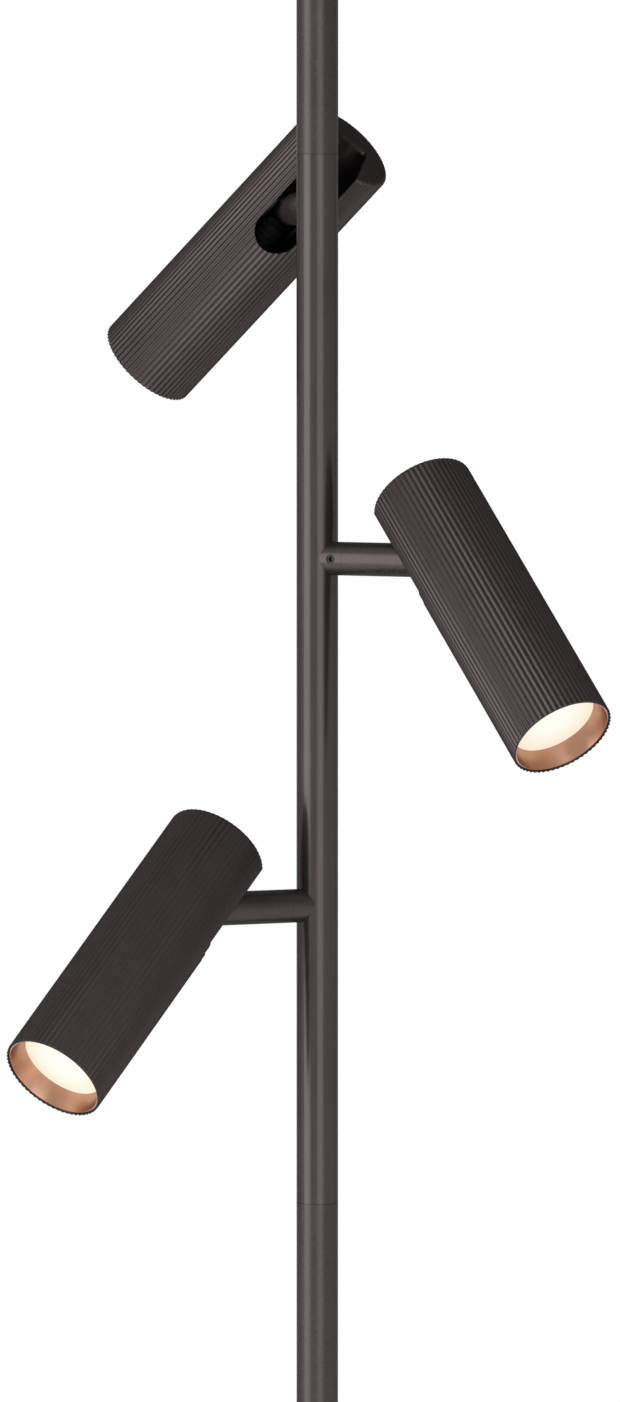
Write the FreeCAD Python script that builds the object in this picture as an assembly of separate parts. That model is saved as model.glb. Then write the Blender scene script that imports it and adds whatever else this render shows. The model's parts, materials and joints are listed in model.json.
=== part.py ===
import FreeCAD, Part
import math
import os

Vector = FreeCAD.Vector

# Tension pole lamp with three fluted spot heads, in millimetres.
# Origin: centre of the foot's contact face on the floor. +Z runs up the pole.
# Each arm leaves the pole along its own +X, turned about the pole by its azimuth.

# ---------------------------------------------------------------- pole sections
POLE_DIAMETER = 25.4
POLE_WALL = 1.2
LOWER_POLE_LENGTH = 973.0
LAMP_POLE_LENGTH = 640.0
UPPER_POLE_LENGTH = 640.0
COUPLER_LENGTH = 60.0
COUPLER_BORE = 14.0
END_CHAMFER = 1.0

# ---------------------------------------------------------------- foot and ceiling plate
FOOT_DIAMETER = 76.0
CEILING_PLATE_DIAMETER = 60.0
PLATE_EDGE_HEIGHT = 4.0
PLATE_CROWN = 7.0
PLATE_RIM = 2.5
NECK_HEIGHT = 12.0
SOCKET_WALL = 3.0
SOCKET_FLOOR = 4.0
PAD_THICKNESS = 3.0
PAD_RECESS = 2.0

# ---------------------------------------------------------------- sprung plunger at the top
PLUNGER_DIAMETER = 19.0
PLUNGER_WALL = 1.2
PLUNGER_REACH = 150.0
PISTON_FLANGE = 4.0
PISTON_SPIGOT = 15.0
BUSH_FLANGE = 3.0
BUSH_DEPTH = 35.0
SPRING_WIRE = 2.5
SPRING_MEAN_DIAMETER = 18.4
SPRING_LENGTH = 160.0
SPRING_TURNS = 10
SPRING_STEPS = 10

# ---------------------------------------------------------------- cord inlet near the foot
INLET_HEIGHT = 70.0
INLET_HOLE = 9.0
GROMMET_BORE = 6.8
GROMMET_FLANGE = 13.0
GROMMET_LIP = 1.8

# ---------------------------------------------------------------- wiring held inside
LEAD_DIAMETER = 4.0
LEAD_SPACING = 6.0
LEAD_BEND = 8.0
LEAD_BEND_STEPS = 4
LEAD_HOLE = 10.0
WIRE_SIDES = 6
BLOCK_DIAMETER = 19.0
BLOCK_HEIGHT = 26.0
BLOCK_SOCKET = 8.0

# ---------------------------------------------------------------- arms
ARM_DIAMETER = 20.5
ARM_WALL = 1.5
ARM_REACH = 101.0
COLLAR_REACH = 22.5
COLLAR_SEAM = 0.1
JOURNAL_DIAMETER = 13.9
STEM_BORE = 7.0
STEM_PLUG = 12.0
ROLL_LIMIT = 160.0
SCREW_DIAMETER = 6.0
SCREW_FROM_AXIS = 15.4
SCREW_DOG = 2.4
SCREW_HEX = 3.0
SCREW_HEX_DEPTH = 1.5
SCREW_SUNK = 0.6
GROOVE_DEPTH = 1.0

# ---------------------------------------------------------------- knuckle and pivot
TANG_THICKNESS = 18.0
TANG_REACH = 9.0
KNUCKLE_SHOULDER = 13.0
KNUCKLE_PLUG = 12.0
KNUCKLE_BORE = 5.2
KNUCKLE_BORE_END = 9.0
PIVOT_DIAMETER = 5.0
PIVOT_HEAD = 9.0
PIVOT_HEAD_HEIGHT = 2.6
PIVOT_HEX = 3.0
PIVOT_HEX_DEPTH = 1.3
PIVOT_TAIL = 1.5
WASHER_DIAMETER = 10.0
WASHER_THICKNESS = 0.8
BRACKET_THICKNESS = 1.6
EAR_WIDTH = 15.0

# ---------------------------------------------------------------- head
HEAD_DIAMETER = 64.5
HEAD_LENGTH = 199.6
HEAD_WALL = 2.6
REAR_WALL = 2.5
REAR_ROUND = 2.0
REAR_ROUND_STEPS = 2
PIVOT_FROM_REAR = 56.8
FLUTE_COUNT = 60
FLUTE_DEPTH = 0.7
SLOT_WIDTH = 28.5
SLOT_LENGTH = 75.2
SLOT_CORNER = 4.0
SLOT_PAST_CENTRE = 11.2

# ---------------------------------------------------------------- light end
SLEEVE_BORE_WALL = 1.5
BAFFLE_DEPTH = 13.0
BAFFLE_SETBACK = 0.8
BAFFLE_LIP = 0.7
BAFFLE_OPENING = 53.0
LENS_THICKNESS = 2.5
LENS_GAP = 1.0
LAMP_DIAMETER = 50.0
LAMP_LENGTH = 74.0
LAMP_RIM_HEIGHT = 8.0
LAMP_BASE_DIAMETER = 26.4
HOLDER_DIAMETER = 38.0
HOLDER_LENGTH = 42.0
HOLDER_BORE_DEPTH = 27.0
SPOUT_DIAMETER = 12.0
SPOUT_FROM_PIVOT = 14.0

# ---------------------------------------------------------------- clearances
SLIP = 0.05
RUNNING = 0.08
FREE = 0.3

# ---------------------------------------------------------------- the three lamps
# heights of the arms above the lower seam
UPPER_ARM_HEIGHT = 606.7
MIDDLE_ARM_HEIGHT = 394.1
LOWER_ARM_HEIGHT = 182.3
# name, height, azimuth, roll about the arm, tilt from straight down
LAMPS = [
    ("upper", UPPER_ARM_HEIGHT, 99.7, 39.1, 30.3),
    ("middle", MIDDLE_ARM_HEIGHT, -31.0, -20.4, 40.3),
    ("lower", LOWER_ARM_HEIGHT, -150.9, 21.4, 44.8),
]

# ---------------------------------------------------------------- worked out from the above
pole_radius = POLE_DIAMETER / 2
pole_bore = pole_radius - POLE_WALL
pole_foot_z = PAD_THICKNESS + SOCKET_FLOOR
lower_seam_z = pole_foot_z + LOWER_POLE_LENGTH
upper_seam_z = lower_seam_z + LAMP_POLE_LENGTH
pole_top_z = upper_seam_z + UPPER_POLE_LENGTH
spring_foot_z = upper_seam_z + COUPLER_LENGTH / 2
piston_z = spring_foot_z + SPRING_LENGTH
plunger_foot_z = piston_z + PISTON_FLANGE
plunger_top_z = pole_top_z + BUSH_FLANGE + PLUNGER_REACH
ceiling_z = plunger_top_z + SOCKET_FLOOR + PAD_THICKNESS

arm_radius = ARM_DIAMETER / 2
arm_bore = arm_radius - ARM_WALL
journal_radius = JOURNAL_DIAMETER / 2
journal_end = pole_radius + FREE
arm_start = COLLAR_REACH + COLLAR_SEAM
tang_start = ARM_REACH - TANG_REACH
shoulder_start = tang_start - KNUCKLE_SHOULDER
lead_end_x = ARM_REACH - KNUCKLE_BORE_END

head_radius = HEAD_DIAMETER / 2
head_bore = head_radius - HEAD_WALL
sleeve_bore = head_radius - SLEEVE_BORE_WALL
rear_z = PIVOT_FROM_REAR
front_z = PIVOT_FROM_REAR - HEAD_LENGTH
baffle_back_z = front_z + BAFFLE_DEPTH
lens_back_z = baffle_back_z + LENS_THICKNESS
lamp_front_z = lens_back_z + LENS_GAP
lamp_back_z = lamp_front_z + LAMP_LENGTH
holder_front_z = lamp_back_z - HOLDER_BORE_DEPTH
holder_back_z = holder_front_z + HOLDER_LENGTH
bracket_back_z = holder_back_z + BRACKET_THICKNESS
spout_radius = SPOUT_DIAMETER / 2
ear_inside = TANG_THICKNESS / 2 + SLIP + WASHER_THICKNESS
ear_outside = ear_inside + BRACKET_THICKNESS

X = Vector(1, 0, 0)
Y = Vector(0, 1, 0)
Z = Vector(0, 0, 1)


# ---------------------------------------------------------------- building blocks
def rod(radius, low, high, axis=Z, centre=Vector(0, 0, 0)):
    """Solid cylinder along an axis, from low to high as measured from the centre."""
    return Part.makeCylinder(radius, high - low, centre + axis * low, axis)


def ring(outer, inner, low, high, axis=Z, centre=Vector(0, 0, 0)):
    """Tube or washer along an axis."""
    return rod(outer, low, high, axis, centre).cut(rod(inner, low, high, axis, centre))


def block(low, high):
    """Box between two corners."""
    return Part.makeBox(high[0] - low[0], high[1] - low[1], high[2] - low[2], Vector(*low))


def turned(*corners):
    """Solid of revolution about Z from the corners (radius, height) of its outline."""
    outline = [Vector(radius, 0, height) for radius, height in corners + corners[:1]]
    return Part.Face(Part.makePolygon(outline)).revolve(Vector(0, 0, 0), Z, 360)


def hexagon_socket(across_flats, depth, top, axis, centre):
    """Six-sided cutter, sunk to a depth below the top face of a screw."""
    side = across_flats / math.sqrt(3)
    corners = []
    for corner in range(7):
        angle = math.radians(60 * corner)
        corners.append(Vector(side * math.cos(angle), side * math.sin(angle), 0))
    prism = Part.Face(Part.makePolygon(corners)).extrude(Z * (depth + FREE))
    prism.Placement = FreeCAD.Placement(centre + axis * (top - depth), FreeCAD.Rotation(Z, axis))
    return prism


def drawn_wire(radius, centres, ways, side_way):
    """Wire as a ruled loft of many-sided sections, one at each centre, square to its way."""
    sections = []
    for centre, way in zip(centres, ways):
        across = side_way(centre)
        over = way.cross(across)
        corners = []
        for side in range(WIRE_SIDES + 1):
            angle = 2 * math.pi * side / WIRE_SIDES
            corners.append(centre + (across * math.cos(angle) + over * math.sin(angle)) * radius)
        sections.append(Part.makePolygon(corners))
    return Part.makeLoft(sections, True, True)


# ---------------------------------------------------------------- foot and ceiling plate
def end_plate(plate_diameter, tube_diameter):
    """Crowned plate with a neck round its tube; its pad's contact face is at height zero."""
    plate_radius = plate_diameter / 2
    socket_radius = tube_diameter / 2 + SLIP
    neck_radius = socket_radius + SOCKET_WALL
    underside = PAD_THICKNESS - PAD_RECESS
    edge_top = underside + PLATE_EDGE_HEIGHT
    crown_top = edge_top + PLATE_CROWN
    neck_top = crown_top + NECK_HEIGHT
    return turned(
        (0, PAD_THICKNESS),
        (plate_radius - PLATE_RIM, PAD_THICKNESS),
        (plate_radius - PLATE_RIM, underside),
        (plate_radius, underside),
        (plate_radius, edge_top),
        (neck_radius, crown_top),
        (neck_radius, neck_top),
        (socket_radius, neck_top),
        (socket_radius, PAD_THICKNESS + SOCKET_FLOOR),
        (0, PAD_THICKNESS + SOCKET_FLOOR),
    )


def end_pad(plate_diameter):
    """Rubber disc let into the plate, standing proud of it."""
    return rod(plate_diameter / 2 - PLATE_RIM - SLIP, 0, PAD_THICKNESS)


def overhead(shape):
    """The same end piece, turned over and pressed against the ceiling."""
    shape.Placement = FreeCAD.Placement(Vector(0, 0, ceiling_z), FreeCAD.Rotation(X, 180))
    return shape


# ---------------------------------------------------------------- pole
def lower_pole():
    tube = ring(pole_radius, pole_bore, pole_foot_z, lower_seam_z)
    inlet = rod(INLET_HOLE / 2, 0, POLE_DIAMETER, Y, Vector(0, 0, INLET_HEIGHT))
    return tube.cut(inlet)


def cord_grommet():
    """Rubber bush whose lips grip the pole's wall round the cord inlet."""
    centre = Vector(0, 0, INLET_HEIGHT)
    inner_lip = pole_bore - GROMMET_LIP
    outer_lip = pole_radius + GROMMET_LIP
    body = rod(GROMMET_FLANGE / 2, inner_lip, outer_lip, Y, centre)
    body = body.cut(lower_pole())
    return body.cut(rod(GROMMET_BORE / 2, 0, POLE_DIAMETER, Y, centre))


def coupler(seam_z):
    """Hollow spigot that joins two pole sections inside their seam."""
    bottom = seam_z - COUPLER_LENGTH / 2
    top = seam_z + COUPLER_LENGTH / 2
    return ring(pole_bore - SLIP, COUPLER_BORE / 2, bottom, top)


def lamp_pole():
    tube = ring(pole_radius, pole_bore, lower_seam_z, upper_seam_z)
    for name, height, azimuth, roll, tilt in LAMPS:
        outward = Vector(math.cos(math.radians(azimuth)), math.sin(math.radians(azimuth)), 0)
        hole = rod(LEAD_HOLE / 2, 0, POLE_DIAMETER, outward, Z * (lower_seam_z + height))
        tube = tube.cut(hole)
    return tube


def upper_pole():
    return ring(pole_radius, pole_bore, upper_seam_z, pole_top_z)


# ---------------------------------------------------------------- sprung plunger
def guide_bush():
    """Plastic bush in the pole's mouth that guides the plunger."""
    bore = PLUNGER_DIAMETER / 2 + RUNNING
    return turned(
        (bore, pole_top_z - BUSH_DEPTH),
        (pole_bore - SLIP, pole_top_z - BUSH_DEPTH),
        (pole_bore - SLIP, pole_top_z),
        (pole_radius, pole_top_z),
        (pole_radius, pole_top_z + BUSH_FLANGE - END_CHAMFER),
        (pole_radius - END_CHAMFER, pole_top_z + BUSH_FLANGE),
        (bore, pole_top_z + BUSH_FLANGE),
    )


def plunger_tube():
    radius = PLUNGER_DIAMETER / 2
    return ring(radius, radius - PLUNGER_WALL, plunger_foot_z, plunger_top_z)


def plunger_piston():
    """Flanged plug at the plunger's lower end, which the spring pushes on."""
    spigot = PLUNGER_DIAMETER / 2 - PLUNGER_WALL - SLIP
    flange = rod(pole_bore - FREE, piston_z, plunger_foot_z)
    return flange.fuse(rod(spigot, plunger_foot_z, plunger_foot_z + PISTON_SPIGOT))


def tension_spring():
    """Coil spring as one unbroken wire; prints the least gap between its turns."""
    radius = SPRING_MEAN_DIAMETER / 2
    climb = (SPRING_LENGTH - SPRING_WIRE) / SPRING_TURNS
    foot = spring_foot_z + SPRING_WIRE / 2
    centres = []
    ways = []
    for step in range(SPRING_TURNS * SPRING_STEPS + 1):
        angle = 2 * math.pi * step / SPRING_STEPS
        outward = Vector(math.cos(angle), math.sin(angle), 0)
        centres.append(outward * radius + Z * (foot + climb * step / SPRING_STEPS))
        ways.append((Z.cross(outward) * (2 * math.pi * radius) + Z * climb).normalize())
    turn_gap = centres[0].distanceToPoint(centres[SPRING_STEPS]) - SPRING_WIRE
    print("spring: least gap between turns %.2f mm" % turn_gap)
    return drawn_wire(SPRING_WIRE / 2, centres, ways, away_from_axis)


def away_from_axis(point):
    return Vector(point.x, point.y, 0).normalize()


# ---------------------------------------------------------------- wiring
def lead_places():
    """Where each lamp's lead stands in the pole: opposite the way its arm leaves."""
    places = []
    for name, height, azimuth, roll, tilt in LAMPS:
        angle = math.radians(azimuth + 180)
        places.append(Vector(LEAD_SPACING * math.cos(angle), LEAD_SPACING * math.sin(angle), 0))
    return places


def terminal_block():
    """Block on the lower coupler that joins the cord to the three lamp leads."""
    bottom = lower_seam_z + COUPLER_LENGTH / 2
    top = bottom + BLOCK_HEIGHT
    body = rod(BLOCK_DIAMETER / 2, bottom, top)
    body = body.cut(rod(GROMMET_BORE / 2, bottom - SLIP, bottom + BLOCK_SOCKET))
    for place in lead_places():
        body = body.cut(rod(LEAD_DIAMETER / 2 + SLIP, top - BLOCK_SOCKET, top + SLIP, Z, place))
    return body


def lamp_leads():
    """Three leads that climb the pole and turn out through their arms' holes."""
    foot = lower_seam_z + COUPLER_LENGTH / 2 + BLOCK_HEIGHT - BLOCK_SOCKET
    leads = []
    for place, lamp in zip(lead_places(), LAMPS):
        outward = place * (-1 / LEAD_SPACING)
        height = lower_seam_z + lamp[1]
        sideways = Z.cross(outward)
        centres = [place + Z * foot]
        ways = [Z]
        for step in range(LEAD_BEND_STEPS + 1):
            angle = math.pi / 2 * step / LEAD_BEND_STEPS
            along = outward * (LEAD_BEND * (1 - math.cos(angle)))
            climb = Z * (height - LEAD_BEND * (1 - math.sin(angle)))
            centres.append(place + along + climb)
            ways.append(Z * math.cos(angle) + outward * math.sin(angle))
        centres.append(outward * (journal_end - SLIP) + Z * height)
        ways.append(outward)
        leads.append(drawn_wire(LEAD_DIAMETER / 2, centres, ways, lambda point: sideways))
    return Part.makeCompound(leads)


# ---------------------------------------------------------------- arm, in its own frame
# The arm lies along +X from the pole's axis and its pivot turns about Y.
def collar():
    """Short boss saddled on the pole, bored for the swivel stem."""
    body = rod(arm_radius, 0, COLLAR_REACH, X)
    body = body.cut(rod(pole_radius, -ARM_DIAMETER, ARM_DIAMETER))
    body = body.cut(rod(journal_radius + RUNNING, 0, COLLAR_REACH, X))
    screw_centre = X * SCREW_FROM_AXIS
    return body.cut(rod(SCREW_DIAMETER / 2, 0, ARM_DIAMETER, Y * -1, screw_centre))


def collar_screw():
    """Socket set screw whose dog point runs in the stem's groove."""
    outward = Y * -1
    centre = X * SCREW_FROM_AXIS
    top = arm_radius - SCREW_SUNK
    shank_end = journal_radius + RUNNING
    dog_end = journal_radius - GROOVE_DEPTH + FREE
    screw = rod(SCREW_DIAMETER / 2, shank_end, top, outward, centre)
    screw = screw.fuse(rod(SCREW_DOG / 2, dog_end, shank_end, outward, centre))
    return screw.cut(hexagon_socket(SCREW_HEX, SCREW_HEX_DEPTH, top, outward, centre))


def stem_groove():
    """Part-turn groove; its ends stop the screw's point at the roll limits."""
    dog_half_angle = math.degrees(math.asin((SCREW_DOG / 2 + FREE) / (journal_radius - GROOVE_DEPTH)))
    half_sweep = ROLL_LIMIT + dog_half_angle
    half_width = SCREW_DOG / 2 + FREE
    corners = [
        Vector(SCREW_FROM_AXIS - half_width, 0, journal_radius - GROOVE_DEPTH),
        Vector(SCREW_FROM_AXIS + half_width, 0, journal_radius - GROOVE_DEPTH),
        Vector(SCREW_FROM_AXIS + half_width, 0, journal_radius + GROOVE_DEPTH),
        Vector(SCREW_FROM_AXIS - half_width, 0, journal_radius + GROOVE_DEPTH),
    ]
    face = Part.Face(Part.makePolygon(corners + corners[:1]))
    face.rotate(Vector(0, 0, 0), X, 90 - half_sweep)
    return face.revolve(Vector(0, 0, 0), X, 2 * half_sweep)


def swivel_stem():
    """Hollow spindle that turns in the collar and plugs the arm tube."""
    journal = rod(journal_radius, journal_end, arm_start, X)
    plug = rod(arm_bore - SLIP, arm_start, arm_start + STEM_PLUG, X)
    body = journal.fuse(plug)
    body = body.cut(rod(STEM_BORE / 2, 0, ARM_REACH, X))
    return body.cut(stem_groove())


def arm_tube():
    return ring(arm_radius, arm_bore, arm_start, shoulder_start, X)


def knuckle():
    """Arm's end: a plug, then a bar with two flats, rounded about the pivot."""
    half = TANG_THICKNESS / 2
    tip = ARM_REACH + arm_radius
    way = block((shoulder_start, -arm_radius, -arm_radius), (ARM_REACH, arm_radius, arm_radius))
    way = way.fuse(rod(arm_radius, -arm_radius, arm_radius, Y, X * ARM_REACH)).removeSplitter()
    body = rod(arm_radius, shoulder_start, tip, X).common(way)
    for low, high in ((-ARM_DIAMETER, -half), (half, ARM_DIAMETER)):
        body = body.cut(block((tang_start, low, -ARM_DIAMETER), (tip, high, ARM_DIAMETER)))
    body = body.fuse(rod(arm_bore - SLIP, shoulder_start - KNUCKLE_PLUG, shoulder_start, X))
    body = body.cut(rod(KNUCKLE_BORE / 2, 0, lead_end_x, X))
    pin_hole = PIVOT_DIAMETER / 2 + SLIP
    return body.cut(rod(pin_hole, -ARM_DIAMETER, ARM_DIAMETER, Y, X * ARM_REACH))


def arm_lead():
    """Lead along the arm's axis, from the pole to the end of the knuckle's bore."""
    return drawn_wire(LEAD_DIAMETER / 2, [X * journal_end, X * lead_end_x], [X, X], lambda point: Z)


# ---------------------------------------------------------------- head, in its own frame
# The pivot is at the origin and turns about Y; the head's axis is Z, its light end
# points down -Z, and its slot faces -X, towards the pole.
def pivot_screw():
    """Shoulder screw through the bracket's ears and the tang."""
    screw = rod(PIVOT_DIAMETER / 2, -ear_outside - PIVOT_TAIL, ear_outside, Y)
    screw = screw.fuse(rod(PIVOT_HEAD / 2, ear_outside, ear_outside + PIVOT_HEAD_HEIGHT, Y))
    top = ear_outside + PIVOT_HEAD_HEIGHT
    return screw.cut(hexagon_socket(PIVOT_HEX, PIVOT_HEX_DEPTH, top, Y, Vector(0, 0, 0)))


def friction_washers():
    """Pair of washers between the tang and the ears."""
    washers = []
    for side in (-1, 1):
        inner_face = TANG_THICKNESS / 2 + SLIP
        outer_face = inner_face + WASHER_THICKNESS
        bore = PIVOT_DIAMETER / 2 + SLIP
        washers.append(ring(WASHER_DIAMETER / 2, bore, inner_face, outer_face, Y * side))
    return Part.makeCompound(washers)


def bracket():
    """Strap across the head's bore, with two ears back to the pivot."""
    half = EAR_WIDTH / 2
    strap = block((-half, -head_radius, holder_back_z), (half, head_radius, bracket_back_z))
    strap = strap.common(rod(head_bore - SLIP, holder_back_z, bracket_back_z))
    for side in (-1, 1):
        low, high = sorted((side * ear_inside, side * ear_outside))
        ear = block((-half, low, bracket_back_z), (half, high, 0))
        ear = ear.fuse(rod(half, low, high, Y))
        strap = strap.fuse(ear)
    strap = strap.cut(rod(spout_radius + SLIP, holder_back_z, bracket_back_z))
    return strap.cut(rod(PIVOT_DIAMETER / 2, -ear_outside, ear_outside, Y)).removeSplitter()


def fluted_outline(inset, height):
    """Star outline of the ribs and grooves, drawn in by an inset at the rear end."""
    half_pitch = math.pi / FLUTE_COUNT
    shrink = 1 - inset / head_radius
    corners = []
    for corner in range(2 * FLUTE_COUNT + 1):
        radius = (head_radius - FLUTE_DEPTH * (corner % 2)) * shrink
        angle = corner * half_pitch
        corners.append(Vector(radius * math.cos(angle), radius * math.sin(angle), height))
    return Part.makePolygon(corners)


def fluted_bar():
    """Solid bar with a groove between every two ribs and a rounded-off rear end."""
    outlines = [fluted_outline(0, front_z)]
    for step in range(REAR_ROUND_STEPS + 1):
        angle = math.pi / 2 * step / REAR_ROUND_STEPS
        inset = REAR_ROUND * (1 - math.cos(angle))
        outlines.append(fluted_outline(inset, rear_z - REAR_ROUND * (1 - math.sin(angle))))
    return Part.makeLoft(outlines, True, True)


def head_slot():
    """Cutter for the arm's way: down the side from the rear, and across the rear wall."""
    half = SLOT_WIDTH / 2
    end_z = rear_z - SLOT_LENGTH + half
    beyond = HEAD_DIAMETER
    side_cut = block((-beyond, -half, end_z), (0, half, rear_z + REAR_WALL))
    side_cut = side_cut.fuse(rod(half, 0, beyond, X * -1, Z * end_z))
    rear_cut = block(
        (-beyond, -half, rear_z - REAR_WALL - SLIP),
        (SLOT_PAST_CENTRE, half, rear_z + REAR_WALL),
    )
    corners = []
    for edge in rear_cut.Edges:
        middle = edge.CenterOfMass
        if abs(middle.x - SLOT_PAST_CENTRE) < SLIP and abs(abs(middle.y) - half) < SLIP:
            corners.append(edge)
    return side_cut.fuse(rear_cut.makeFillet(SLOT_CORNER, corners))


def housing():
    """Fluted tube with a rounded rear end, stepped mouth and the arm's slot."""
    body = fluted_bar()
    body = body.cut(rod(sleeve_bore, front_z, lens_back_z))
    body = body.cut(rod(head_bore, lens_back_z, rear_z - REAR_WALL))
    return body.cut(head_slot())


def baffle():
    """Spun copper-coloured cone that lines the mouth and holds the lens."""
    outer = sleeve_bore - SLIP
    mouth = front_z + BAFFLE_SETBACK
    return turned(
        (BAFFLE_OPENING / 2, baffle_back_z),
        (outer, baffle_back_z),
        (outer, mouth),
        (outer - BAFFLE_LIP, mouth),
    )


def lens():
    """Frosted disc between the baffle and the step in the housing's mouth."""
    return rod(sleeve_bore - FREE, baffle_back_z, lens_back_z)


def lamp():
    """Reflector lamp: screw base, flared body and rim."""
    base = LAMP_BASE_DIAMETER / 2
    rim = LAMP_DIAMETER / 2
    return turned(
        (0, lamp_front_z),
        (rim, lamp_front_z),
        (rim, lamp_front_z + LAMP_RIM_HEIGHT),
        (base, holder_front_z - FREE),
        (base, lamp_back_z),
        (0, lamp_back_z),
    )


def lampholder():
    """Moulded holder, open towards the lamp; its spout passes through the bracket's strap."""
    bore = LAMP_BASE_DIAMETER / 2 + SLIP
    outer = HOLDER_DIAMETER / 2
    return turned(
        (0, -SPOUT_FROM_PIVOT),
        (spout_radius, -SPOUT_FROM_PIVOT),
        (spout_radius, holder_back_z),
        (outer, holder_back_z),
        (outer, holder_front_z),
        (bore, holder_front_z),
        (bore, lamp_back_z),
        (0, lamp_back_z),
    )


# ---------------------------------------------------------------- assembly
def collar_place(height, azimuth):
    """Where an arm's frame stands on the pole before the arm is rolled."""
    return FreeCAD.Placement(Z * (lower_seam_z + height), FreeCAD.Rotation(Z, azimuth))


def placed(shape, placement):
    copy = shape.copy()
    copy.Placement = placement.multiply(copy.Placement)
    return copy


def lamp_assembly():
    """Every piece of the three lamps, by node name."""
    pole_pieces = {"collar": collar()}
    arm_pieces = {
        "arm_tube": arm_tube(),
        "swivel_stem": swivel_stem(),
        "knuckle": knuckle(),
        "arm_lead": arm_lead(),
    }
    head_pieces = {
        "pivot_screw": pivot_screw(),
        "friction_washers": friction_washers(),
        "bracket": bracket(),
        "housing": housing(),
        "baffle": baffle(),
        "lens": lens(),
        "lamp": lamp(),
        "lampholder": lampholder(),
    }
    nodes = {}
    screws = []
    for name, height, azimuth, roll, tilt in LAMPS:
        fixed = collar_place(height, azimuth)
        rolled = fixed.multiply(FreeCAD.Placement(Vector(0, 0, 0), FreeCAD.Rotation(X, roll)))
        tilted = rolled.multiply(FreeCAD.Placement(X * ARM_REACH, FreeCAD.Rotation(Y, -tilt)))
        for pieces, placement in (
            (pole_pieces, fixed),
            (arm_pieces, rolled),
            (head_pieces, tilted),
        ):
            for piece, shape in pieces.items():
                nodes[name + "_" + piece] = placed(shape, placement)
        screws.append(placed(collar_screw(), fixed))
    nodes["collar_screws"] = Part.makeCompound(screws)
    return nodes


def main():
    nodes = {
        "foot": end_plate(FOOT_DIAMETER, POLE_DIAMETER),
        "floor_pad": end_pad(FOOT_DIAMETER),
        "lower_pole": lower_pole(),
        "cord_grommet": cord_grommet(),
        "lower_coupler": coupler(lower_seam_z),
        "lamp_pole": lamp_pole(),
        "terminal_block": terminal_block(),
        "lamp_leads": lamp_leads(),
        "upper_coupler": coupler(upper_seam_z),
        "upper_pole": upper_pole(),
        "guide_bush": guide_bush(),
        "tension_spring": tension_spring(),
        "plunger_piston": plunger_piston(),
        "plunger_tube": plunger_tube(),
        "ceiling_plate": overhead(end_plate(CEILING_PLATE_DIAMETER, PLUNGER_DIAMETER)),
        "ceiling_pad": overhead(end_pad(CEILING_PLATE_DIAMETER)),
    }
    nodes.update(lamp_assembly())
    os.makedirs("parts", exist_ok=True)
    for name, shape in nodes.items():
        shape.exportStep("parts/" + name + ".step")
    print("nodes: %d, height: %.1f mm" % (len(nodes), ceiling_z))


main()
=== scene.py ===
import bpy
import bmesh
import json
import math
from mathutils import Matrix, Vector


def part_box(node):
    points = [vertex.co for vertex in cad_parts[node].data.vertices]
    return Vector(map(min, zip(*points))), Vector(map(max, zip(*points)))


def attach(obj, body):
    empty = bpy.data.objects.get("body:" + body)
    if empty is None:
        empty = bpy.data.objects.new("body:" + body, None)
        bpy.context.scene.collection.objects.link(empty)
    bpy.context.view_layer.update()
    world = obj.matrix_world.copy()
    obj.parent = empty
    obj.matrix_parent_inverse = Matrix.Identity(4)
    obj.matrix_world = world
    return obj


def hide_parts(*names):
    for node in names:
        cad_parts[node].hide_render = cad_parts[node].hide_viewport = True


# Tension pole lamp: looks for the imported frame. Metres, +Z up, the viewer stands at -Y.

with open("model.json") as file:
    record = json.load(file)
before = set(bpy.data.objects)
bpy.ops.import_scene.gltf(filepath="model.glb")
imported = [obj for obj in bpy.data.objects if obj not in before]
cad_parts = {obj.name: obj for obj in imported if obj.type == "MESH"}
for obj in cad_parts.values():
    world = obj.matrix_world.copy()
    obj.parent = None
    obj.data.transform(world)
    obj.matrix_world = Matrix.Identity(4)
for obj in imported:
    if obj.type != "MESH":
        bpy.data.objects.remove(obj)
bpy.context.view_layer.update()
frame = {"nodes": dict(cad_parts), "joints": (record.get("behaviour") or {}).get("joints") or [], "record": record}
nodes = frame["nodes"]
joints = {joint["name"]: joint for joint in frame["joints"]}

LAMPS = ("upper", "middle", "lower")

# ---------------------------------------------------------------- photograph's viewpoint
IMAGE_WIDTH = 620
IMAGE_HEIGHT = 1402
POLE_CENTRE_PX = 317.3
HORIZON_PX = 200.0
POLE_SEAM_PX = 1205.0
PX_PER_METRE = 1642.0
CAMERA_DISTANCE = 6.0
SENSOR_MM = 36.0

# ---------------------------------------------------------------- head, as large as its CAD housing
HEAD_RADIUS = 0.03225
HEAD_LENGTH = 0.1996
PIVOT_FROM_REAR = 0.0568
BORE_RADIUS = 0.02965
SLEEVE_RADIUS = 0.03075
SLEEVE_DEPTH = 0.0155
REAR_WALL = 0.0025
REAR_ROUND = 0.0025
MOUTH_ROUND = 0.0004
FLUTES = 60
FLUTE_DEPTH = 0.0008
SLOT_WIDTH = 0.0285
SLOT_LENGTH = 0.0752
SLOT_CORNER = 0.004
SLOT_PAST_CENTRE = 0.0112

# ---------------------------------------------------------------- gland, with heights from the pivot
GLAND_RADIUS = 0.0073
GLAND_GROOVE = 0.0013
GLAND_LOW = -0.0345
GLAND_HIGH = -0.0155
GLAND_RIDGES = 5

# ---------------------------------------------------------------- painted shade: dark hairlines between pole sections
SEAM_HEIGHT = 0.0003
SEAM_PROUD = 0.00003

# ---------------------------------------------------------------- fineness of the made meshes
POINTS_PER_FLUTE = 8
ARC_STEPS = 6
MOUTH_STEPS = 2
SLOT_END_STEPS = 24
GLAND_STEPS = 40
SEAM_STEPS = 96
MERGE_DISTANCE = 1e-7
# degrees: edges that turn more stay sharp
HOUSING_CREASE = 35
GLAND_CREASE = 25
CREASE = 30


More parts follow.
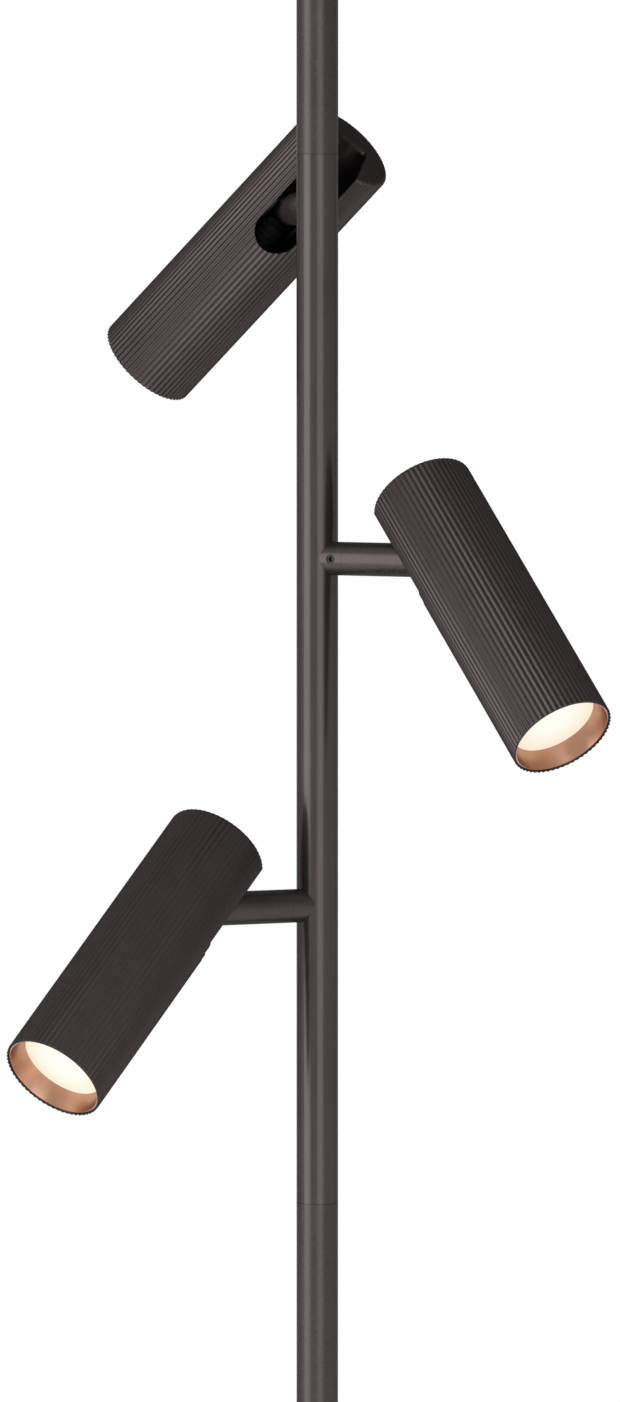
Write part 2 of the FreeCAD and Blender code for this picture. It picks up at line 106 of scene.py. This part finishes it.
# ---------------------------------------------------------------- node helpers
def new_material(name):
    """Material with an empty tree; returns it with the tree and the output node."""
    material = bpy.data.materials.new(name)
    material.use_nodes = True
    tree = material.node_tree
    tree.nodes.clear()
    output = tree.nodes.new("ShaderNodeOutputMaterial")
    return material, tree, output


def fill(tree, socket, value):
    """Links an input to another node's socket, or sets its value."""
    if isinstance(value, bpy.types.NodeSocket):
        tree.links.new(value, socket)
    else:
        socket.default_value = value


def add(tree, kind, **inputs):
    """Node of a kind, with its inputs filled by name; an underscore stands for a space."""
    node = tree.nodes.new(kind)
    for name, value in inputs.items():
        fill(tree, node.inputs[name.replace("_", " ")], value)
    return node


def calculated(tree, operation, first, second):
    """Result of a math operation on two sockets or numbers."""
    node = add(tree, "ShaderNodeMath")
    node.operation = operation
    fill(tree, node.inputs[0], first)
    fill(tree, node.inputs[1], second)
    return node.outputs[0]


def eased(tree, value, start, end, low, high):
    """Smooth change from low to high while the value goes from start to end."""
    node = add(
        tree, "ShaderNodeMapRange", Value=value, From_Min=start, From_Max=end, To_Min=low, To_Max=high
    )
    node.interpolation_type = "SMOOTHSTEP"
    return node.outputs["Result"]


def noise(tree, cells, detail):
    """Noise with so many cells per metre along X, Y and Z."""
    coordinates = add(tree, "ShaderNodeTexCoord")
    mapping = add(tree, "ShaderNodeMapping", Vector=coordinates.outputs["Object"], Scale=cells)
    node = add(
        tree, "ShaderNodeTexNoise", Vector=mapping.outputs["Vector"], Scale=1.0, Detail=detail
    )
    return node.outputs["Fac"]


def ramp(tree, factor, first, last, start=0.3, end=0.7):
    """Change between two greys or colours while the factor goes from start to end."""
    node = add(tree, "ShaderNodeValToRGB", Fac=factor)
    stops = ((start, first), (end, last))
    for element, (position, colour) in zip(node.color_ramp.elements, stops):
        element.position = position
        if isinstance(colour, float):
            colour = (colour, colour, colour)
        element.color = (*colour, 1.0)
    return node.outputs["Color"]


BUMP_DISTANCE = 0.0001


def finish_surface(tree, output, height, bump, **inputs):
    """Principled shader with these inputs, and with a bump where its strength isn't zero."""
    shader = add(tree, "ShaderNodeBsdfPrincipled", **inputs)
    if bump:
        relief = add(tree, "ShaderNodeBump", Height=height, Strength=bump, Distance=BUMP_DISTANCE)
        fill(tree, shader.inputs["Normal"], relief.outputs["Normal"])
    tree.links.new(shader.outputs["BSDF"], output.inputs["Surface"])


# ---------------------------------------------------------------- materials
METAL_SPECULAR = 0.08
BLOTCHES = (70, 70, 25)
BLOTCH_SHARE = 0.4

METALS = {
    "bronze_tube": dict(
        dark=(0.066, 0.057, 0.056), light=(0.084, 0.073, 0.071), roughness=0.24,
        streaks=(900, 900, 9), edge=0.12, spread=0.06, metallic=0.66
    ),
    "bronze_arm": dict(
        dark=(0.066, 0.057, 0.056), light=(0.084, 0.073, 0.071), roughness=0.30,
        streaks=(500, 500, 500), edge=0.12, spread=0.05, metallic=0.62
    ),
    "bronze_head": dict(
        dark=(0.058, 0.048, 0.048), light=(0.071, 0.059, 0.059), roughness=0.34,
        streaks=(700, 700, 700), bump=0.08, metallic=0.80
    ),
    "copper": dict(
        dark=(0.50, 0.31, 0.22), light=(0.57, 0.36, 0.26), roughness=0.30,
        streaks=(1500, 1500, 1500), bump=0.02, edge=0.7, spread=0.03
    ),
    "zinc_steel": dict(
        dark=(0.42, 0.43, 0.44), light=(0.60, 0.61, 0.62), roughness=0.35,
        streaks=(300, 300, 300), bump=0.1, edge=0.6
    ),
    "black_steel": dict(
        dark=(0.020, 0.020, 0.022), light=(0.035, 0.035, 0.038), roughness=0.40,
        streaks=(700, 700, 700), bump=0.08, edge=0.3
    ),
    "spring_steel": dict(
        dark=(0.30, 0.30, 0.31), light=(0.45, 0.45, 0.46), roughness=0.35,
        streaks=(300, 300, 300), bump=0.1, edge=0.6
    ),
}

MOULDINGS = {
    "black_moulding": dict(
        dark=(0.022, 0.022, 0.023), light=(0.034, 0.034, 0.036), roughness=0.30, grain=4000, bump=0.05
    ),
    "nylon": dict(
        dark=(0.030, 0.030, 0.030), light=(0.045, 0.045, 0.045), roughness=0.50, grain=2500, bump=0.1
    ),
    "rubber": dict(
        dark=(0.022, 0.022, 0.022), light=(0.035, 0.034, 0.033), roughness=0.80, grain=3000, bump=0.2,
        specular=0.3
    ),
    "lead_cover": dict(
        dark=(0.50, 0.49, 0.46), light=(0.62, 0.61, 0.57), roughness=0.45, grain=2000, bump=0.1
    ),
    "lamp_glass": dict(
        dark=(0.75, 0.74, 0.70), light=(0.85, 0.84, 0.80), roughness=0.20, grain=300, bump=0.02
    ),
}

LENS_BASE = (0.20, 0.19, 0.17, 1.0)
LENS_CENTRE = (1.0, 0.97, 0.88)
LENS_EDGE = (1.0, 0.80, 0.60)
LENS_STRENGTH = 0.85
LENS_GRAIN = (4500, 4500, 4500)


def metal(name, dark, light, roughness, streaks, bump=0.0, edge=0.15, spread=0.08, metallic=1.0):
    """Satin metal whose colour and roughness vary in streaks and faint blotches.

    The streaks are the noise's cells per metre, edge is the grey of the gloss at its edges, and
    spread is how far the roughness varies. A metallic below 1 gives the soft base of a dark
    plated or lacquered finish.
    """
    material, tree, output = new_material(name)
    fine = noise(tree, streaks, detail=2.0)
    mixed = add(tree, "ShaderNodeMix")
    mixed.data_type = "FLOAT"
    fill(tree, mixed.inputs[0], BLOTCH_SHARE)
    fill(tree, mixed.inputs[2], fine)
    fill(tree, mixed.inputs[3], noise(tree, BLOTCHES, detail=3.0))
    tone = mixed.outputs[0]
    finish_surface(
        tree, output, height=fine, bump=bump,
        Base_Color=ramp(tree, tone, dark, light),
        Roughness=ramp(tree, tone, roughness - spread, roughness + spread),
        Metallic=metallic,
        Specular_IOR_Level=METAL_SPECULAR,
        Specular_Tint=(edge, edge, edge, 1.0)
    )
    return material


def moulded(name, dark, light, roughness, grain, bump, specular=0.5, spread=0.06):
    """Plastic, rubber or glass with a fine grain, in noise cells per metre."""
    material, tree, output = new_material(name)
    tone = noise(tree, (grain, grain, grain), detail=4.0)
    finish_surface(
        tree, output, height=tone, bump=bump,
        Base_Color=ramp(tree, tone, dark, light),
        Roughness=ramp(tree, tone, roughness - spread, roughness + spread),
        Specular_IOR_Level=specular
    )
    return material


def lens_material(lamp, centre):
    """Frosted disc that glows warm white, and peach towards its edge."""
    material, tree, output = new_material(lamp + "_frosted_lens")
    coordinates = add(tree, "ShaderNodeTexCoord")
    away = add(tree, "ShaderNodeVectorMath", Vector=coordinates.outputs["Object"])
    away.operation = "DISTANCE"
    fill(tree, away.inputs[1], centre)
    outward = calculated(tree, "DIVIDE", away.outputs["Value"], SLEEVE_RADIUS)
    grain = noise(tree, LENS_GRAIN, detail=3.0)
    finish_surface(
        tree, output, height=grain, bump=0.1,
        Base_Color=LENS_BASE,
        Roughness=ramp(tree, grain, 0.42, 0.58),
        Emission_Color=ramp(tree, outward, LENS_CENTRE, LENS_EDGE, start=0.35, end=0.95),
        Emission_Strength=LENS_STRENGTH
    )
    return material


def make_materials():
    """Finishes by name: one for each slot but the lenses', and one more for the arms."""
    finishes = {name: metal(name, **look) for name, look in METALS.items()}
    for name, look in MOULDINGS.items():
        finishes[name] = moulded(name, **look)
    return finishes


# ---------------------------------------------------------------- object and mesh helpers
def placed(name, data):
    """New object of some data, in the scene."""
    piece = bpy.data.objects.new(name, data)
    bpy.context.scene.collection.objects.link(piece)
    return piece


def mesh_object(name, mesh):
    """Object from a bmesh, which is freed."""
    bmesh.ops.recalc_face_normals(mesh, faces=mesh.faces)
    data = bpy.data.meshes.new(name)
    mesh.to_mesh(data)
    mesh.free()
    return placed(name, data)


def ring_of(mesh, radius, height, steps, flute_depth=0.0):
    """Ring of vertices round Z; where it is fluted, ribs and valleys are equally wide."""
    ring = []
    for step in range(steps):
        angle = 2 * math.pi * step / steps
        reach = radius - flute_depth * (0.5 - 0.5 * math.cos(FLUTES * angle))
        ring.append(mesh.verts.new((reach * math.cos(angle), reach * math.sin(angle), height)))
    return ring


def skin(mesh, rings):
    """Quads between every two neighbouring rings."""
    for lower, upper in zip(rings, rings[1:]):
        count = len(lower)
        for index in range(count):
            following = (index + 1) % count
            mesh.faces.new((lower[index], lower[following], upper[following], upper[index]))


def prism(name, near, far):
    """Closed prism between two outlines of as many points."""
    mesh = bmesh.new()
    ends = [[mesh.verts.new(point) for point in outline] for outline in (near, far)]
    skin(mesh, ends)
    for end in ends:
        mesh.faces.new(end)
    return mesh_object(name, mesh)


def turned_ring(name, section, steps):
    """Closed ring turned about Z from the corners (radius, height) of its section."""
    mesh = bmesh.new()
    skin(mesh, [ring_of(mesh, radius, height, steps) for radius, height in section + section[:1]])
    bmesh.ops.remove_doubles(mesh, verts=mesh.verts, dist=MERGE_DISTANCE)
    return mesh_object(name, mesh)


def smooth_by_angle(piece, degrees):
    """Smooth shading with sharp edges where the surface turns by more than an angle."""
    for polygon in piece.data.polygons:
        polygon.use_smooth = True
    piece.data.set_sharp_from_angle(angle=math.radians(degrees))


def cut(piece, cutter):
    """Cuts one object out of another for good, and deletes the cutter."""
    modifier = piece.modifiers.new("cut", "BOOLEAN")
    modifier.operation = "DIFFERENCE"
    modifier.solver = "EXACT"
    modifier.object = cutter
    graph = bpy.context.evaluated_depsgraph_get()
    mesh = bpy.data.meshes.new_from_object(piece.evaluated_get(graph))
    piece.modifiers.clear()
    piece.data = mesh
    bpy.data.objects.remove(cutter)


# ---------------------------------------------------------------- fluted housings
def housing_shell():
    """Closed shell of the head about its pivot: ribs outside, stepped bore inside."""
    rear = PIVOT_FROM_REAR
    front = rear - HEAD_LENGTH
    shelf = front + SLEEVE_DEPTH
    # radius, height and flute depth, from the bore's floor out to the mouth and back outside
    profile = [
        (BORE_RADIUS, rear - REAR_WALL, 0.0),
        (BORE_RADIUS, shelf, 0.0),
        (SLEEVE_RADIUS, shelf, 0.0),
        (SLEEVE_RADIUS, front, 0.0),
    ]
    for step in range(MOUTH_STEPS + 1):
        turn = math.pi / 2 * step / MOUTH_STEPS
        radius = HEAD_RADIUS - MOUTH_ROUND * (1 - math.sin(turn))
        profile.append((radius, front + MOUTH_ROUND * (1 - math.cos(turn)), FLUTE_DEPTH))
    for step in range(ARC_STEPS + 1):
        turn = math.pi / 2 * step / ARC_STEPS
        radius = HEAD_RADIUS - REAR_ROUND * (1 - math.cos(turn))
        height = rear - REAR_ROUND * (1 - math.sin(turn))
        profile.append((radius, height, FLUTE_DEPTH * (1 - step / ARC_STEPS)))
    mesh = bmesh.new()
    steps = FLUTES * POINTS_PER_FLUTE
    rings = [ring_of(mesh, radius, height, steps, depth) for radius, height, depth in profile]
    skin(mesh, rings)
    for end in (rings[0], rings[-1]):
        mesh.faces.new(end)
    return mesh_object("housing_shell", mesh)


def slot_side():
    """Cutter for the arm's way down the side, with its round end towards the light."""
    half = SLOT_WIDTH / 2
    past_rear = PIVOT_FROM_REAR + REAR_WALL
    centre = PIVOT_FROM_REAR - SLOT_LENGTH + half
    outline = [(-half, past_rear)]
    for step in range(SLOT_END_STEPS + 1):
        turn = math.pi * step / SLOT_END_STEPS
        outline.append((-half * math.cos(turn), centre - half * math.sin(turn)))
    outline.append((half, past_rear))
    near = [(0, y, z) for y, z in outline]
    far = [(-2 * HEAD_RADIUS, y, z) for y, z in outline]
    return prism("slot_side", near, far)


def slot_rear():
    """Cutter for the arm's way across the rear wall, with two rounded corners."""
    half = SLOT_WIDTH / 2
    outline = [(-2 * HEAD_RADIUS, half), (-2 * HEAD_RADIUS, -half)]
    for centre, start in ((-half + SLOT_CORNER, -90), (half - SLOT_CORNER, 0)):
        for step in range(ARC_STEPS + 1):
            turn = math.radians(start + 90 * step / ARC_STEPS)
            x = SLOT_PAST_CENTRE - SLOT_CORNER + SLOT_CORNER * math.cos(turn)
            outline.append((x, centre + SLOT_CORNER * math.sin(turn)))
    low = [(x, y, PIVOT_FROM_REAR - 2 * REAR_WALL) for x, y in outline]
    high = [(x, y, PIVOT_FROM_REAR + 2 * REAR_WALL) for x, y in outline]
    return prism("slot_rear", low, high)


def head_place(lamp):
    """Matrix that takes the head's own frame to where it is at rest."""
    tilt = joints[lamp + "_head_tilt"]
    pivot = Vector(tilt["pos_m"])
    low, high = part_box(lamp + "_lens")
    lens = (Vector(low) + Vector(high)) / 2
    back = (pivot - lens).normalized()
    sideways = -Vector(tilt["axis"]).normalized()
    forward = sideways.cross(back).normalized()
    turn = Matrix((forward, sideways, back)).transposed().to_4x4()
    return Matrix.Translation(pivot) @ turn


def make_housings(materials):
    """One fluted housing in each head, in the place of its CAD node."""
    shell = housing_shell()
    for cutter in (slot_side(), slot_rear()):
        cut(shell, cutter)
    smooth_by_angle(shell, HOUSING_CREASE)
    for lamp in LAMPS:
        data = shell.data.copy()
        data.transform(head_place(lamp))
        data.materials.clear()
        data.materials.append(materials["bronze_head"])
        piece = placed(lamp + "_fluted_housing", data)
        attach(piece, lamp + "_head")
        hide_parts(lamp + "_housing")
    bpy.data.objects.remove(shell)


# ---------------------------------------------------------------- glands, and painted shade at the pole's seams
def make_glands(materials):
    """Ridged black gland round each lampholder's spout, seen through the slot."""
    pitch = (GLAND_HIGH - GLAND_LOW) / GLAND_RIDGES
    inner = GLAND_RADIUS - 2 * GLAND_GROOVE
    valley = GLAND_RADIUS - GLAND_GROOVE
    # radius of each corner of a ridge, and its place as a share of the pitch
    ridge = ((valley, 0.0), (GLAND_RADIUS, 0.25), (GLAND_RADIUS, 0.65), (valley, 0.90))
    section = [(inner, GLAND_LOW)]
    for index in range(GLAND_RIDGES):
        foot = GLAND_LOW + index * pitch
        section += [(radius, foot + share * pitch) for radius, share in ridge]
    section.append((inner, GLAND_HIGH))
    for lamp in LAMPS:
        gland = turned_ring(lamp + "_spout_gland", section, GLAND_STEPS)
        gland.data.transform(head_place(lamp))
        smooth_by_angle(gland, GLAND_CREASE)
        gland.data.materials.append(materials["black_moulding"])
        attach(gland, lamp + "_head")


def make_painted_seam_shade(materials):
    """Dark hairline of painted shade where two pole sections meet: a black band in place of the shaded groove
    between them.
    """
    low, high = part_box("lamp_pole")
    radius = (high[0] - low[0]) / 2
    inner = radius - 2 * SEAM_PROUD
    outer = radius + SEAM_PROUD
    half = SEAM_HEIGHT / 2
    section = [(inner, -half), (outer, -half), (outer, half), (inner, half)]
    for name, height in (("lower_seam_painted_shade", low[2]), ("upper_seam_painted_shade", high[2])):
        seam = turned_ring(name, section, SEAM_STEPS)
        seam.data.transform(Matrix.Translation((0, 0, height)))
        smooth_by_angle(seam, CREASE)
        # the black band is painted shade, standing in for the groove between the sections that the frame doesn't
        # cut
        seam.data.materials.append(materials["black_steel"])
        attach(seam, "pole")


# ---------------------------------------------------------------- finishes on the frame's nodes
def dress_nodes(materials):
    """Gives each CAD node the finish of its slot, each lens and the arms their own."""
    slot_of = {row["node"]: row["material_slot"] for row in frame["record"]["subparts"]}
    for name, piece in nodes.items():
        slot = slot_of[name]
        lamp = name.split("_")[0]
        if slot == "frosted_lens":
            low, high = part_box(name)
            finish = lens_material(lamp, (Vector(low) + Vector(high)) / 2)
        elif slot == "bronze_tube" and lamp in LAMPS:
            finish = materials["bronze_arm"]
        else:
            finish = materials[slot]
        piece.data.materials.clear()
        piece.data.materials.append(finish)
        smooth_by_angle(piece, CREASE)


# ---------------------------------------------------------------- studio
FLOOR_SIZE = 160.0
FLOOR_COLOUR = (0.80, 0.80, 0.80, 1.0)
FLOOR_LIFT = 0.68
# what a mirror sees of the room at its left, at its right and overhead
LEFT_WALL = 0.85
RIGHT_WALL = 0.50
CEILING = 0.85
# where the change to the ceiling starts and ends, as the upward part of the direction
CEILING_START = 0.15
CEILING_END = 0.80
AMBIENT = 0.40
WHITE = (1.0, 1.0, 1.0, 1.0)

# name, azimuth from the viewer's side (negative is left), distance, width, radiance
STRIPS = (
    ("left_strip", -60.0, 2.4, 1.60, 2.50),
    ("right_strip", 16.0, 2.4, 1.30, 1.60),
    ("back_left_strip", -150.0, 2.6, 0.60, 1.8),
    ("back_right_strip", 135.0, 2.6, 0.60, 1.8),
)
STRIP_HEIGHT = 2.6
STRIP_CENTRE = 1.55


def make_floor():
    """Wide pale floor that looks white and keeps the lamp's shadow."""
    half = FLOOR_SIZE / 2
    mesh = bmesh.new()
    corners = ((-half, -half, 0), (half, -half, 0), (half, half, 0), (-half, half, 0))
    mesh.faces.new([mesh.verts.new(corner) for corner in corners])
    floor = mesh_object("floor", mesh)
    material, tree, output = new_material("pale_floor")
    path = add(tree, "ShaderNodeLightPath")
    seen = path.outputs["Is Camera Ray"]
    for ray in ("Is Glossy Ray", "Is Transmission Ray"):
        seen = calculated(tree, "MAXIMUM", seen, path.outputs[ray])
    diffuse = add(tree, "ShaderNodeBsdfDiffuse", Color=FLOOR_COLOUR)
    lift = add(tree, "ShaderNodeEmission", Strength=calculated(tree, "MULTIPLY", seen, FLOOR_LIFT))
    both = add(tree, "ShaderNodeAddShader")
    fill(tree, both.inputs[0], diffuse.outputs[0])
    fill(tree, both.inputs[1], lift.outputs[0])
    tree.links.new(both.outputs[0], output.inputs["Surface"])
    floor.data.materials.append(material)


def make_world():
    """White background; a mirror sees it dimmer to its right and overhead."""
    world = bpy.data.worlds.new("studio")
    bpy.context.scene.world = world
    world.use_nodes = True
    tree = world.node_tree
    tree.nodes.clear()
    output = tree.nodes.new("ShaderNodeOutputWorld")
    coordinates = add(tree, "ShaderNodeTexCoord")
    axes = add(tree, "ShaderNodeSeparateXYZ", Vector=coordinates.outputs["Generated"])
    walls = eased(tree, axes.outputs["X"], -1.0, 1.0, LEFT_WALL, RIGHT_WALL)
    overhead = eased(tree, axes.outputs["Z"], CEILING_START, CEILING_END, 1.0, CEILING)
    room = calculated(tree, "MULTIPLY", walls, overhead)
    path = add(tree, "ShaderNodeLightPath")
    rays = path.outputs
    mirror = calculated(tree, "MAXIMUM", rays["Is Glossy Ray"], rays["Is Transmission Ray"])
    mirrored = calculated(tree, "MULTIPLY", mirror, room)
    seen = calculated(tree, "MAXIMUM", rays["Is Camera Ray"], mirrored)
    strength = calculated(tree, "MAXIMUM", seen, AMBIENT)
    background = add(tree, "ShaderNodeBackground", Color=WHITE, Strength=strength)
    tree.links.new(background.outputs[0], output.inputs["Surface"])


def make_lights():
    """Tall softboxes round the lamp, each turned to it."""
    for name, azimuth, distance, width, radiance in STRIPS:
        light = bpy.data.lights.new(name, "AREA")
        light.shape = "RECTANGLE"
        light.size = width
        light.size_y = STRIP_HEIGHT
        light.energy = radiance * math.pi * width * STRIP_HEIGHT
        angle = math.radians(azimuth)
        away = Vector((math.sin(angle), -math.cos(angle), 0))
        strip = placed(name, light)
        strip.location = away * distance + Vector((0, 0, STRIP_CENTRE))
        strip.rotation_mode = "QUATERNION"
        strip.rotation_quaternion = (-away).to_track_quat("-Z", "Y")
        strip.visible_camera = False


def make_camera():
    """The photograph's viewpoint, worked out from the pole's place and the horizon row."""
    focal_px = PX_PER_METRE * CAMERA_DISTANCE
    seam_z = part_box("lamp_pole")[0][2]
    eye_z = seam_z + (POLE_SEAM_PX - HORIZON_PX) / PX_PER_METRE
    eye_x = (IMAGE_WIDTH / 2 - POLE_CENTRE_PX) / PX_PER_METRE
    down = math.atan((IMAGE_HEIGHT / 2 - HORIZON_PX) / focal_px)
    data = bpy.data.cameras.new("camera")
    data.sensor_width = SENSOR_MM
    data.sensor_fit = "AUTO"
    data.lens = focal_px / IMAGE_HEIGHT * SENSOR_MM
    data.clip_start = 0.1
    data.clip_end = 500
    camera = placed("camera", data)
    camera.location = (eye_x, -CAMERA_DISTANCE, eye_z)
    camera.rotation_euler = (math.pi / 2 - down, 0, 0)
    bpy.context.scene.camera = camera


def main():
    """Dresses the frame and sets up the studio."""
    materials = make_materials()
    dress_nodes(materials)
    make_housings(materials)
    make_glands(materials)
    make_painted_seam_shade(materials)
    make_floor()
    make_world()
    make_lights()
    make_camera()
    bpy.context.scene.view_settings.view_transform = "Standard"


main()
